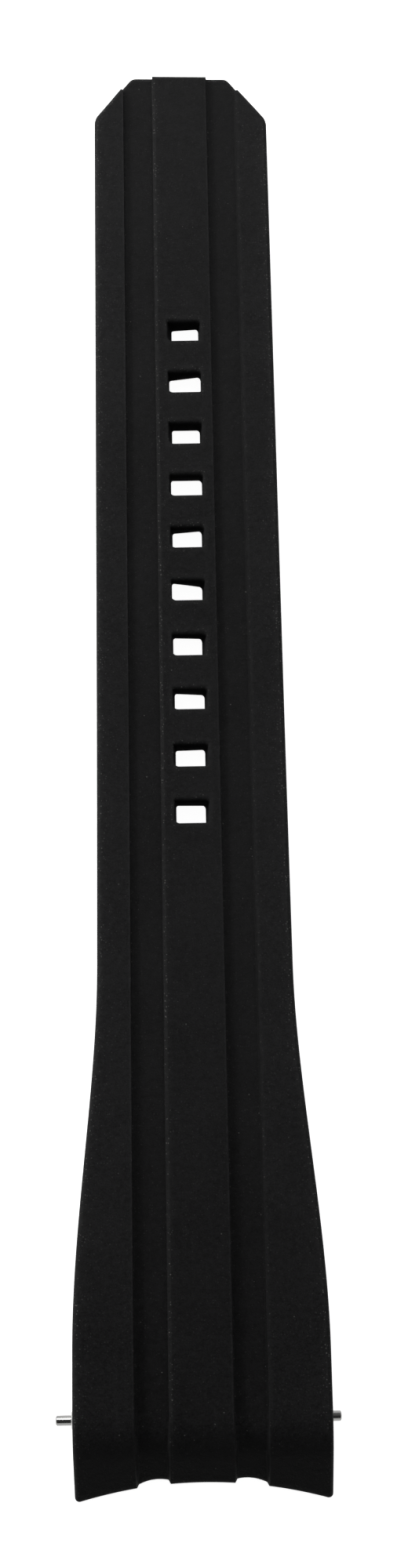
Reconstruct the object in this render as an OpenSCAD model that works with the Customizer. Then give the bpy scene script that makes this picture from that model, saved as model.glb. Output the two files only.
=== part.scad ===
// Silicone watch strap, the long half with the adjustment holes, and the spring bar that holds it.
// The strap lies on its back: X runs across it along the bar, Y from the case end to the tail tip, Z up.
// Lengths are in millimetres. The origin is the middle of the footprint, on the surface it lies on.

/* [Strap outline] */
// From the bar's axis to the tail tip
bar_to_tip = 120.6; // [110:0.1:140]
// Width between the watch's lugs
lug_width = 20; // [19:0.5:24]
// Width where the flare towards the case end begins
waist_width = 16; // [15:0.1:18]
// Width at the tail, just before the tip's chamfers
tail_width = 15.84; // [14.4:0.01:17]
// Where the strap reaches its full width, from the bar's axis
flare_from = 4.9; // [4:0.1:8]
// Length of the flare along the strap
flare_length = 31; // [20:0.5:36]

/* [Strap thickness] */
// Thickness over the bar
lug_thickness = 4.8; // [4.6:0.1:6]
// Thickness at the tail
tail_thickness = 2.2; // [1.8:0.1:3]
// Where the strap starts to thin, from the bar's axis
taper_from = 5.7; // [5:0.1:9]
// Length over which it thins
taper_length = 56; // [40:1:70]

/* [Grooves] */
// Distance between the middles of the two grooves
groove_spacing = 7.75; // [7.2:0.05:8]
// Width of a groove's floor
groove_floor = 2.6; // [1.8:0.05:2.7]
// Width of each steep flank beside the floor
flank_run = 0.15; // [0.1:0.05:0.4]
// Depth of a groove at the tail
groove_depth_tail = 0.4; // [0.2:0.05:0.6]
// Depth of a groove at the case end
groove_depth_lug = 0.55; // [0.2:0.05:0.8]

/* [Adjustment holes] */
// Number of holes
hole_count = 10; // [1:1:12]
// Distance from one hole to the next
hole_pitch = 5; // [4:0.1:6]
// From the tail tip to the middle of the first hole
tip_to_hole = 26.4; // [18:0.1:34]
// Size of a hole across the strap
hole_width = 2.9; // [2:0.1:3.4]
// Size of a hole along the strap
hole_length = 2.1; // [1.6:0.1:2.6]
// Radius of a hole's corners
hole_corner = 0.3; // [0.2:0.05:0.7]

/* [Tail tip] */
// Width of the flat end between the two chamfers
tip_flat = 8.8; // [6:0.1:11]
// Length of each chamfer along the strap
chamfer_length = 4.6; // [3:0.1:6]
// Rounding where a chamfer meets the side
side_round = 1.6; // [0.8:0.1:3]
// Rounding where a chamfer meets the flat end
tip_round = 0.8; // [0.6:0.1:1.2]

/* [Case end] */
// Radius of the bend's inner side, which is added to the thickness for the outer face
bend_inner = 0.7; // [0.3:0.1:1.5]
// Height over the surface at which the two corners of the case end stop
corner_height = 0.58; // [0.5:0.01:1.2]
// Where the bend starts, from the bar's axis towards the tail
bend_from = 0.5; // [0.4:0.1:2]
// Length of the slope past the bend, at the middle of the strap
slope_length = 2.3; // [1.4:0.05:2.4]
// Radius of the hollow end face that goes round the watch case
case_radius = 27; // [24:0.5:40]
// How far the end face is scooped in at the middle of each groove
groove_scoop = 0.15; // [0.05:0.05:0.4]

/* [Edges] */
// Rounding of the outer face's edge
edge_round = 0.35; // [0.15:0.05:0.4]
// Rounding of the back's edge
back_round = 0.25; // [0.1:0.05:0.35]

/* [Spring bar] */
// Outer diameter of the barrel
barrel_diameter = 1.5; // [1.45:0.05:1.8]
// Wall of the barrel
barrel_wall = 0.13; // [0.1:0.01:0.16]
// How much shorter the barrel is than the width between the lugs
barrel_gap = 0.3; // [0.1:0.1:3]
// Thickness of the barrel's turned-in ends
barrel_end = 0.15; // [0.1:0.01:0.2]
// Rounding of the barrel's ends
barrel_round = 0.2; // [0.05:0.01:0.24]
// How far the bar lies off the strap's middle, towards the left
bar_offset = 0.315; // [0:0.005:0.5]
// Depth of the bar's axis below the outer face
bar_depth = 2.4; // [2.1:0.05:2.7]
// Diameter of the tips that go into the lugs
tip_diameter = 0.8; // [0.7:0.02:0.9]
// How far each tip stands out of the barrel
tip_reach = 1.2; // [0.9:0.05:1.4]
// Chamfer at the end of each tip
tip_chamfer = 0.1; // [0.05:0.01:0.15]
// Length of the collar that keeps a tip in the barrel
collar_length = 0.6; // [0.5:0.05:1]

/* [Spring] */
// Diameter of the spring's wire
wire_diameter = 0.2; // [0.15:0.01:0.22]
// Number of turns
spring_turns = 24; // [12:1:24]

/* [Clearances] */
// Between the barrel and the strap's bore, all round
bore_clearance = 0.04; // [0.02:0.01:0.1]
// Between a collar and the barrel, all round
collar_clearance = 0.035; // [0.015:0.005:0.05]
// Between a tip and the barrel's end, all round
tip_clearance = 0.03; // [0.015:0.005:0.05]
// Between a collar and the barrel's end, and between the spring and a collar
seat_clearance = 0.02; // [0.01:0.01:0.05]
// Between the spring and the barrel, all round
spring_clearance = 0.07; // [0.04:0.01:0.12]

/* [Hidden] */

round_steps = 3;
bend_steps = 6;
slope_steps = 3;
shaped_steps = 20;
flank_steps = 4;
fillet_steps = 4;
curve_sides = 64;
wire_sides = 6;
wire_rings = 8;
past = 1;
sliver = 0.05;

// Length of the slope at the two corners of the case end
corner_slope = slope_length + pow(lug_width / 2, 2) / (2 * case_radius);
// The outer face turns down until its corners, past the bend and the slope, are at corner_height
bend_radius = lug_thickness + bend_inner;
bend_turn = acos((corner_height + bend_inner) / norm([bend_radius, corner_slope]))
    - atan2(corner_slope, bend_radius);
// Where the slope past the bend starts
bend_y = bend_from - bend_radius * sin(bend_turn);
bend_z = lug_thickness - bend_radius * (1 - cos(bend_turn));
// The corners reach furthest along Y
corner_y = bend_y - corner_slope * cos(bend_turn);
mid_y = (bar_to_tip + corner_y) / 2;
bar_height = lug_thickness - bar_depth;
// The flare and the thinning both end here
shaped_to = max(flare_from + flare_length, taper_from + taper_length);

// Flanks, from the middle of the strap outwards
rib_edge = groove_spacing / 2 - groove_floor / 2 - flank_run;
band_edge = groove_spacing / 2 + groove_floor / 2 + flank_run;

// The way the tip's chamfers face, from +X
chamfer_facing = atan2((tail_width - tip_flat) / 2, chamfer_length);

// Spring bar
tip_radius = tip_diameter / 2;
barrel_length = lug_width - barrel_gap;
barrel_radius = barrel_diameter / 2;
barrel_bore = barrel_radius - barrel_wall;
collar_radius = barrel_bore - collar_clearance;
bore_radius = barrel_radius + bore_clearance;
end_hole = tip_radius + tip_clearance;
collar_from = barrel_length / 2 - barrel_end - seat_clearance - collar_length;
spring_reach = collar_from - seat_clearance - wire_diameter / 2;
coil_radius = barrel_bore - spring_clearance - wire_diameter / 2;
spring_pitch = 2 * spring_reach / spring_turns;

// Eases from 0 to 1 with no slope at either end
function ease(t) = let(c = min(max(t, 0), 1)) c * c * (3 - 2 * c);

// Points from a to b in n steps, both ends included
function steps(a, b, n) = [for (i = [0:n]) a + (b - a) * i / n];

// Share of the way from the case end's size to the tail's size, at y from the bar's axis
function thinning(y) = ease((y - taper_from) / taper_length);
function top_z(y) = lug_thickness + (tail_thickness - lug_thickness) * thinning(y);
function groove_depth(y) = groove_depth_lug + (groove_depth_tail - groove_depth_lug) * thinning(y);

// Half of the strap's width, which flares over flare_length and then narrows evenly to the tail
function half_width(y) =
    let(flare_end = flare_from + flare_length)
    let(narrowing = (y - flare_end) / (bar_to_tip - flare_end))
    let(straight = waist_width / 2 + (tail_width - waist_width) / 2 * min(max(narrowing, 0), 1))
    straight + (lug_width / 2 - straight) * (1 - ease((y - flare_from) / flare_length));

// How much of its depth a groove has at x: 0 on the rib and the bands, 1 on the floor
function groove_share(x) =
    ease((abs(x) - rib_edge) / flank_run) * (1 - ease((abs(x) - band_edge + flank_run) / flank_run));

// A row across the strap: y and z of its middle, how far the face is turned down there,
// half of the flat part's width, how far the edge faces the tail, the share of the slope, groove depth
function level_row(y) = [y, top_z(y), 0, half_width(y) - edge_round, 0, 0, groove_depth(y)];

function bend_row(turn) = [
    bend_from - bend_radius * sin(turn),
    lug_thickness - bend_radius * (1 - cos(turn)),
    turn,
    lug_width / 2 - edge_round,
    0,
    0,
    groove_depth_lug
];

function slope_row(share) =
    [bend_y, bend_z, bend_turn, lug_width / 2 - edge_round, 0, share, groove_depth_lug];

// Rows of the tail tip: an arc, the chamfer and a second arc, all drawn in by the edge's rounding
function tip_row(centre, radius, facing) = [
    centre[1] + (radius - edge_round) * sin(facing),
    tail_thickness,
    0,
    centre[0] + (radius - edge_round) * cos(facing),
    facing,
    0,
    groove_depth_tail
];

side_centre = [
    tail_width / 2 - side_round,
    bar_to_tip - chamfer_length - side_round * tan(chamfer_facing / 2)
];
tip_centre = [
    tip_flat / 2 - tip_round * tan((90 - chamfer_facing) / 2),
    bar_to_tip - tip_round
];

rows = concat(
    [for (share = steps(1, 1 / slope_steps, slope_steps - 1)) slope_row(share)],
    [for (turn = steps(bend_turn, 0, bend_steps)) bend_row(turn)],
    [for (y = steps(flare_from, shaped_to, shaped_steps)) level_row(y)],
    [for (facing = steps(0, chamfer_facing, fillet_steps)) tip_row(side_centre, side_round, facing)],
    [for (facing = steps(chamfer_facing, 90, fillet_steps)) tip_row(tip_centre, tip_round, facing)]
);
last_row = len(rows) - 1;

// Columns along the strap, from its middle to where the right band begins, then across the band
inner_columns = concat(
    [0, rib_edge / 2],
    steps(rib_edge, rib_edge + flank_run, flank_steps),
    [groove_spacing / 2],
    steps(band_edge - flank_run, band_edge, flank_steps)
);
band_columns = 3;
half_columns = len(inner_columns) + band_columns;

// Place of column i of the right half in a row of half-width w. Columns past the edge are
// gathered just inside it, so that the grooves keep their lines up to the chamfer.
function column_x(i, w) =
    let(inner = len(inner_columns))
    let(band_from = min(band_edge, w - band_columns * sliver))
    i < inner
        ? min(inner_columns[i], w - (half_columns - 1 - i) * sliver)
        : band_from + (w - band_from) * (i - inner + 1) / band_columns;

columns = 2 * half_columns - 1;
function signed_x(c, w) =
    c < half_columns - 1 ? -column_x(half_columns - 1 - c, w) : column_x(c - half_columns + 1, w);

// How far the end face is drawn in at x: most at the middle of a groove, 0 past its flanks
function scoop(x) =
    groove_scoop * max(0, 1 - pow((abs(x) - groove_spacing / 2) / (groove_floor / 2 + flank_run), 2));

// Point of the outer face in row r and column c
function face_point(r, c) =
    let(row = rows[r])
    let(x = signed_x(c, row[3]))
    let(slope = row[5] * (slope_length - edge_round + x * x / (2 * case_radius) - scoop(x)))
    let(sink = row[6] * groove_share(x))
    [
        x,
        row[0] - slope * cos(row[2]) + sink * sin(row[2]),
        row[1] - slope * sin(row[2]) - sink * cos(row[2])
    ];

// Walk round the outer face's edge: row, column, the way the edge faces, and the way down its wall
function wall_down(r) = [0, sin(rows[r][2]), -cos(rows[r][2])];

function end_facing(c) =
    let(lean = signed_x(c, rows[0][3]) / case_radius)
    [-lean, -cos(bend_turn), -sin(bend_turn)] / sqrt(1 + lean * lean);

function blend_facing(a, b, t) = let(v = a * (1 - t) + b * t) v / norm(v);

walk = concat(
    [for (r = [0:last_row]) [r, columns - 1, [cos(rows[r][4]), sin(rows[r][4]), 0]]],
    [for (c = [columns - 2:-1:1]) [last_row, c, [0, 1, 0]]],
    [for (r = [last_row:-1:0]) [r, 0, [-cos(rows[r][4]), sin(rows[r][4]), 0]]],
    [for (i = [1:fillet_steps - 1]) [0, 0, blend_facing([-1, 0, 0], end_facing(0), i / fillet_steps)]],
    [for (c = [0:columns - 1]) [0, c, end_facing(c)]],
    [for (i = [1:fillet_steps - 1])
        [0, columns - 1, blend_facing(end_facing(columns - 1), [1, 0, 0], i / fillet_steps)]]
);

// Rings of the edge, from the outer face over its rounding, down the wall and round to the back
function edge_ring(step, stop) =
    let(inside = face_point(stop[0], stop[1]))
    let(down = wall_down(stop[0]))
    let(angle = 90 * step / round_steps)
    inside + stop[2] * edge_round * sin(angle) + down * edge_round * (1 - cos(angle));

function foot(stop) =
    let(from = edge_ring(round_steps, stop))
    let(down = wall_down(stop[0]))
    from + down * from[2] / -down[2];

function back_ring(step, stop) =
    let(corner = foot(stop))
    let(out = [stop[2][0], stop[2][1], 0])
    let(inwards = -out / norm(out) * back_round)
    let(upwards = -wall_down(stop[0]) * back_round)
    let(t = step / round_steps)
    corner + upwards * pow(1 - t, 2) + inwards * pow(t, 2);

stops = len(walk);
face_points = [for (r = [0:last_row]) for (c = [0:columns - 1]) face_point(r, c)];
ring_points = concat(
    [for (s = [1:round_steps]) for (stop = walk) edge_ring(s, stop)],
    [for (s = [0:round_steps]) for (stop = walk) back_ring(s, stop)]
);
rings = 2 * round_steps + 1;

function face_index(r, c) = r * columns + c;
function ring_index(ring, i) =
    ring == 0
        ? face_index(walk[i % stops][0], walk[i % stops][1])
        : len(face_points) + (ring - 1) * stops + i % stops;

// The back is a fan round this point, from which its whole outline can be seen
back_middle = [0, flare_from + flare_length, 0];
back_index = len(face_points) + len(ring_points);

// A four-sided patch as two triangles, without the sides that have no length
function patch(a, b, c, d) = a == b ? [[a, c, d]] : [[a, b, c], [a, c, d]];

strap_faces = concat(
    [for (r = [0:last_row - 1]) for (c = [0:columns - 2])
        for (f = patch(
            face_index(r, c),
            face_index(r + 1, c),
            face_index(r + 1, c + 1),
            face_index(r, c + 1)
        )) f],
    [for (ring = [0:rings - 1]) for (i = [0:stops - 1])
        for (f = patch(
            ring_index(ring, i),
            ring_index(ring, i + 1),
            ring_index(ring + 1, i + 1),
            ring_index(ring + 1, i)
        )) f],
    [for (i = [0:stops - 1]) [ring_index(rings, i), ring_index(rings, i + 1), back_index]]
);

module along_x(x) {
    translate([x, 0, bar_height])
        rotate([0, 90, 0])
            children();
}

module rounded_slot(width, length, corner, height) {
    linear_extrude(height) {
        square([width - 2 * corner, length], center = true);
        square([width, length - 2 * corner], center = true);
        for (x = [-1, 1], y = [-1, 1])
            translate([x * (width / 2 - corner), y * (length / 2 - corner)])
                circle(r = corner, $fn = curve_sides);
    }
}

module strap_body() {
    color("#1d1d1e")
        translate([0, -mid_y, 0])
            difference() {
                polyhedron(
                    points = concat(face_points, ring_points, [back_middle]),
                    faces = strap_faces,
                    convexity = 6
                );
                along_x(-lug_width / 2 - past)
                    cylinder(r = bore_radius, h = lug_width + 2 * past, $fn = curve_sides);
                for (i = [0:hole_count - 1])
                    translate([0, bar_to_tip - tip_to_hole - i * hole_pitch, -past])
                        rounded_slot(hole_width, hole_length, hole_corner, lug_thickness + 2 * past);
            }
}

// The bar's own middle lies bar_offset to the left of the strap's
module in_bar() {
    translate([-bar_offset, -mid_y, 0])
        along_x(0)
            children();
}

module bar_tube() {
    color("silver")
        in_bar()
            rotate_extrude($fn = curve_sides)
                barrel_section();
}

// Half of the barrel's section, as radius and height: a wall whose ends are rounded and turned in
module barrel_section() {
    half = barrel_length / 2;
    difference() {
        union() {
            translate([0, barrel_round - half])
                square([barrel_radius, barrel_length - 2 * barrel_round]);
            translate([0, -half])
                square([barrel_radius - barrel_round, barrel_length]);
            for (end = [-1, 1])
                translate([barrel_radius - barrel_round, end * (half - barrel_round)])
                    circle(r = barrel_round, $fn = curve_sides);
        }
        translate([0, -half - past])
            square([end_hole, barrel_length + 2 * past]);
        translate([0, barrel_end - half])
            square([barrel_bore, barrel_length - 2 * barrel_end]);
    }
}

module plunger() {
    translate([0, 0, collar_from])
        cylinder(r = collar_radius, h = collar_length, $fn = curve_sides);
    tip_from = collar_from + collar_length;
    tip_end = barrel_length / 2 + tip_reach;
    translate([0, 0, tip_from])
        cylinder(r = tip_radius, h = tip_end - tip_chamfer - tip_from, $fn = curve_sides);
    translate([0, 0, tip_end - tip_chamfer])
        cylinder(r1 = tip_radius, r2 = tip_radius - tip_chamfer, h = tip_chamfer, $fn = curve_sides);
}

module left_plunger() {
    color("silver")
        in_bar()
            mirror([0, 0, 1])
                plunger();
}

module right_plunger() {
    color("silver")
        in_bar()
            plunger();
}

// The spring's wire: a ring of points every 360 / wire_rings degrees along a plain helix
function coil_centre(turn) = [
    coil_radius * cos(360 * turn),
    coil_radius * sin(360 * turn),
    turn * spring_pitch - spring_reach
];

function coil_ring(turn) =
    let(outward = [cos(360 * turn), sin(360 * turn), 0])
    let(circuit = 2 * PI * coil_radius)
    let(along = [-circuit * sin(360 * turn), circuit * cos(360 * turn), spring_pitch])
    let(side = cross(along / norm(along), outward))
    [for (i = [0:wire_sides - 1])
        coil_centre(turn) + wire_diameter / 2
            * (outward * cos(360 * i / wire_sides) + side * sin(360 * i / wire_sides))];

coil_stops = spring_turns * wire_rings;
coil_points = [for (i = [0:coil_stops]) for (p = coil_ring(i / wire_rings)) p];
coil_faces = concat(
    [[for (i = [wire_sides - 1:-1:0]) i]],
    [for (k = [0:coil_stops - 1]) for (i = [0:wire_sides - 1])
        for (f = patch(
            k * wire_sides + i,
            k * wire_sides + (i + 1) % wire_sides,
            (k + 1) * wire_sides + (i + 1) % wire_sides,
            (k + 1) * wire_sides + i
        )) f],
    [[for (i = [0:wire_sides - 1]) coil_stops * wire_sides + i]]
);

// Least gap between one turn of the wire and the next
coil_gaps = [
    for (i = [0:wire_rings])
        norm(coil_centre(1 + i / wire_rings) - coil_centre(0)) - wire_diameter
];
echo(least_gap_between_turns = min(coil_gaps));

module bar_spring() {
    color("gray")
        in_bar()
            polyhedron(points = coil_points, faces = coil_faces, convexity = 10);
}

strap_body();
bar_tube();
bar_spring();
left_plunger();
right_plunger();
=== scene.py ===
import math

import bmesh
import bpy
import numpy as np
from mathutils import Matrix


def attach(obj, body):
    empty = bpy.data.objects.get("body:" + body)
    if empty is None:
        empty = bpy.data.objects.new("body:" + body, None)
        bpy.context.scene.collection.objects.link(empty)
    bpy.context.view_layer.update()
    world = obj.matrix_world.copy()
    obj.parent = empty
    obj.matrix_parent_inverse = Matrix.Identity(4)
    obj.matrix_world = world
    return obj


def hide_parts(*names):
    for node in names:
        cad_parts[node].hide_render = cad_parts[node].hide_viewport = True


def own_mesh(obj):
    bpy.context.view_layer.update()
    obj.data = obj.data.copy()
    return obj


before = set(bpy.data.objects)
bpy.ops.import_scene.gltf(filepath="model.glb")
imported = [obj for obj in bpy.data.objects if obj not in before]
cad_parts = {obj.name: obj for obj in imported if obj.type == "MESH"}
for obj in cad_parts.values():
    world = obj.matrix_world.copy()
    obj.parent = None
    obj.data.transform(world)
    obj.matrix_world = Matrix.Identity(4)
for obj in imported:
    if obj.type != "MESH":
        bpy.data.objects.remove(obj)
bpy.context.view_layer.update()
scene = bpy.context.scene
print("frame loaded")

mm = 0.001
weldDistance = 0.0006 * mm
tinyEdge = 0.0001 * mm
# Order of a cell's corners that turns it over
flipped = [0, 3, 2, 1]


def ease(t):
    # From 0 to 1 with no slope at either end: t squared times 3 minus 2t
    t = np.clip(t, 0, 1)
    return t * t * (3 - 2 * t)


def bell(x, middle, width, power=2):
    # 1 at the middle; e to minus the distance over the width, raised to the power
    return np.exp(-((x - middle) / width) ** power)


def gridQuads(rows, columns, wrap=False):
    # Corner numbers of every cell of a grid; the last column joins the first when it wraps
    r = np.arange(rows - 1)[:, None]
    c = np.arange(columns if wrap else columns - 1)[None, :]
    d = (c + 1) % columns
    corners = [r * columns + c, r * columns + d, (r + 1) * columns + d, (r + 1) * columns + c]
    return np.stack(corners, axis=-1)


def meshPiece(name, patches, shift, values=()):
    # Joins patches of points, cells, marks and finishes into one closed skin, welded where their edges meet.
    # A patch's marks are one value for each point and each of the named attributes.
    points, cells, marked, finishes, start = [], [], [], [], 0
    for patchPoints, patchCells, patchMarks, patchFinish in patches:
        flat = patchPoints.reshape(-1, 3)
        points.append(flat)
        cells.append(patchCells.reshape(-1, 4) + start)
        marked.append([np.broadcast_to(m, patchPoints.shape[:-1]).reshape(-1) for m in patchMarks])
        finishes.append(np.broadcast_to(patchFinish, patchCells.shape[:-1]).reshape(-1))
        start += len(flat)
    points = (np.concatenate(points) + shift) * mm
    cells = np.concatenate(cells)
    mesh = bpy.data.meshes.new(name)
    mesh.vertices.add(len(points))
    mesh.vertices.foreach_set("co", points.ravel())
    mesh.loops.add(cells.size)
    mesh.loops.foreach_set("vertex_index", cells.ravel())
    mesh.polygons.add(len(cells))
    mesh.polygons.foreach_set("loop_start", np.arange(len(cells)) * 4)
    mesh.polygons.foreach_set("material_index", np.concatenate(finishes))
    for k, attribute in enumerate(values):
        data = mesh.attributes.new(attribute, "FLOAT", "POINT").data
        data.foreach_set("value", np.concatenate([m[k] for m in marked]))
    mesh.update(calc_edges=True)
    skin = bmesh.new()
    skin.from_mesh(mesh)
    bmesh.ops.remove_doubles(skin, verts=skin.verts, dist=weldDistance)
    bmesh.ops.dissolve_degenerate(skin, edges=skin.edges, dist=tinyEdge)
    openEdges = sum(1 for e in skin.edges if not e.is_manifold)
    volume = round(skin.calc_volume() / mm ** 3, 2)
    print(name, len(skin.faces), "faces,", openEdges, "open edges, volume", volume)
    skin.to_mesh(mesh)
    skin.free()
    mesh.polygons.foreach_set("use_smooth", np.ones(len(mesh.polygons), bool))
    piece = bpy.data.objects.new(name, mesh)
    scene.collection.objects.link(piece)
    return piece


# Silicone strap, in millimetres
strap = {
    "barToTip": 120.6, "caseWidth": 20.0, "waistWidth": 16.0, "tailWidth": 15.84,
    "flareFrom": 4.9, "flareLength": 31.0,
    "caseThickness": 4.8, "tailThickness": 2.2, "taperFrom": 5.7, "taperLength": 56.0,
    "grooveSpacing": 7.67, "grooveFloor": 2.64, "flankRun": 0.03, "depthTail": 0.4, "depthCase": 0.55,
    "floorSag": 0.08, "grooveShift": -0.06, "endFlank": 0.2,
    "tipFlat": 8.8, "chamferLength": 4.6, "sideRound": 1.6, "tipRound": 0.8, "tailZone": 7.8,
    "tailSkew": 0.028, "tailCrowding": 1.5,
    "bendInner": 0.7, "cornerHeight": 0.58, "bendFrom": 0.5, "slopeLength": 2.3, "rowStep": 0.4,
    "caseRadius": 27.0, "grooveScoop": 0.15,
    "edgeRound": 0.35, "backRound": 0.25,
    "boreRadius": 0.79, "boreMouth": 0.1, "axisHeight": 2.4,
}
# How pale the rubber is painted, as painted light and shade, and how much dust and painted highlight lie on
# it, from 0 to 1; places and widths in millimetres
marks = {
    # Painted light and shade: the bands paler than the rib, the grooves darker as painted shade in their
    # hollows, the end slope darker as painted shade
    "bandPale": 0.66, "ribPale": 0.57, "groovePaleTail": 0.5, "groovePaleCase": 0.44, "slopePale": 0.2,
    # Painted light that rises on the bend, and painted light in the shade at the feet of the right-facing
    # walls
    "bendRise": 1.6, "palerFoot": 0.85, "palerWidth": 0.13,
    # Painted shade before the feet of the left-facing walls
    "darkerFoot": 0.16, "darkerPlace": 0.1, "darkerWidth": 0.2,
    # Dust and painted highlight on the outer edges' round and on the top, and how much of both the bend loses;
    # dust on the slots' rims
    "edgeDustAndHighlight": 0.7, "topDustAndLightLost": 0.7, "edgeDustAndHighlightLost": 0.5, "rimDust": 0.3,
}
holes = {
    "count": 10, "pitch": 5.0, "tipToFirst": 26.4, "width": 2.9, "length": 2.1,
    "corners": (0.18, 0.34, 0.2, 0.4),  # near right, far right, far left, near left
    "rim": 0.1, "farRim": 0.4, "farRimPower": 3, "backRim": 0.06, "reach": 2.0,
    # How pale the rings are painted, as painted light on the wall, from the lower part of the rim's round to
    # two thirds of the way down the wall
    "wallPale": (0.8, 1.0, 1.0, 1.0),
    # From which ring to which they are so pale, the rim has its dust, and the wall has its own finish: duller,
    # with its tones painted paler as painted light
    "paleRings": (7, 11), "dustRings": (3, 6), "wallRings": (6, 13),
    # How far each hole's near side lies further out, from the tail on
    "near": (0.0, 0.09, 0.1, 0.08, 0.0, -0.06, 0.0, -0.1, 0.06, 0.11),
    # How each hole's foot departs from its rim, from the tail on: further out, askew, narrower on each side
    "footFar": (0.02, 0.13, 0.03, 0.14, 0.16, 0.15, 0.18, 0.03, -0.03, 0.02),
    "footAskew": (0.07, 0.16, 0.0, 0.0, 0.1, -0.2, -0.05, -0.08, 0.03, -0.02),
    "footLeft": (0.33, 0.06, 0.24, 0.08, 0.14, 0.02, 0.06, 0.12, 0.13, 0.11),
    "footRight": (0.18, 0.04, 0.2, 0.1, 0.2, 0.25, 0.35, 0.23, 0.27, 0.31),
}
# How many cells each part of the skin has; the bore's rows are counted from the start of the bend
steps = {
    "rib": 6, "ribSide": 4, "flank": 6, "floor": 5, "fillet": 5, "slope": 9, "bend": 20, "start": 2,
    "flare": 79, "hole": 12, "holeGap": 3, "plain": 27, "tail": 14,
    "edge": 5, "wall": 12, "back": 3, "corner": 6, "spread": 4, "rim": 4,
    "boreRows": (4, 22), "boreMargin": 2, "boreRound": 3,
}
# Width of the strip that is kept free of the holes' windows at the rib's sides, and where the lines of the
# grooves' floors and of the bands lie, closest together beside the walls
ribSide = 0.3
floorLines = np.array([0.04, 0.1, 0.2, 0.4, 0.7])
bandLines = np.array([0.018, 0.035, 0.055, 0.085, 0.13, 0.22, 0.36, 0.55, 0.75, 0.9])

barHeight = strap["axisHeight"]
halfCase = strap["caseWidth"] / 2
endLean = strap["slopeLength"] + halfCase ** 2 / (2 * strap["caseRadius"])
bendRadius = strap["caseThickness"] + strap["bendInner"]
bendTurn = (math.acos((strap["cornerHeight"] + strap["bendInner"]) / math.hypot(bendRadius, endLean))
            - math.atan2(endLean, bendRadius))
bendY = strap["bendFrom"] - bendRadius * math.sin(bendTurn)
bendZ = strap["caseThickness"] - bendRadius * (1 - math.cos(bendTurn))
midY = (strap["barToTip"] + bendY - endLean * math.cos(bendTurn)) / 2
toFrame = np.array([0, -midY, 0])
ribEdge = strap["grooveSpacing"] / 2 - strap["grooveFloor"] / 2 - strap["flankRun"]
bandEdge = strap["grooveSpacing"] / 2 + strap["grooveFloor"] / 2 + strap["flankRun"]
tailFrom = strap["barToTip"] - strap["tailZone"]
holeY = strap["barToTip"] - holes["tipToFirst"] - holes["pitch"] * np.arange(holes["count"])[::-1]

# Middle, width, power and strength of each bell of dust and painted light across the strap: dust with a
# painted highlight on the left-facing walls of rib and band, then painted light in the shade of their
# right-facing walls; and the strength and length of the decays of dust and painted highlight inwards from the
# outer edges
dustAndLightBells = (
    (0.14 - ribEdge, 0.15, 4, 1.0),
    (bandEdge + 0.12, 0.11, 2, 0.45),
    (ribEdge + 0.03, 0.07, 2, 0.6),
    (0.03 - bandEdge, 0.07, 2, 0.6),
)
dustAndLightDecays = ((0.5, 0.15), (0.25, 0.6))


def thinning(y):
    # The share of the loss of thickness at y, eased from 0 at the taper's start to 1 at its end
    return ease((y - strap["taperFrom"]) / strap["taperLength"])


def topHeight(y):
    # Thickness at the case end plus the thinning's share of its difference to the tail
    return strap["caseThickness"] + (strap["tailThickness"] - strap["caseThickness"]) * thinning(y)


def halfWidth(y):
    # An even narrowing from the waist to the tail, plus an eased flare towards the case end
    flareEnd = strap["flareFrom"] + strap["flareLength"]
    narrowing = np.clip((y - flareEnd) / (tailFrom - flareEnd), 0, 1)
    straight = strap["waistWidth"] / 2 + (strap["tailWidth"] - strap["waistWidth"]) / 2 * narrowing
    return straight + (halfCase - straight) * (1 - ease((y - strap["flareFrom"]) / strap["flareLength"]))


def grooveShare(x):
    # 0 on the rib and the bands, 1 on a groove's floor, eased over each flank
    run = strap["flankRun"]
    return ease((abs(x) - ribEdge) / run) * (1 - ease((abs(x) - bandEdge + run) / run))


def floorBow(x):
    # A parabola across a groove: 1 in its middle and 0 at the ends of its flanks
    halfGroove = strap["grooveFloor"] / 2 + strap["flankRun"]
    return np.clip(1 - ((abs(x) - strap["grooveSpacing"] / 2) / halfGroove) ** 2, 0, 1)


def grooveDepth(x, y):
    # The groove's share times its depth, which shrinks with the thickness, less the floor's rise at its sides
    depth = strap["depthCase"] + (strap["depthTail"] - strap["depthCase"]) * thinning(y)
    return grooveShare(x) * (depth - strap["floorSag"] * (1 - thinning(y)) * (1 - floorBow(x)))


def endScoop(x):
    # How far a groove's end is scooped out of the end face: the scoop times the floor's parabola
    return strap["grooveScoop"] * floorBow(x)


def cornerRound(middleX, middleY, radius, angles):
    # Points on a circle's arc: its middle plus the radius times cosine and sine
    return np.stack([middleX + radius * np.cos(angles), middleY + radius * np.sin(angles)], axis=1)


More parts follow.
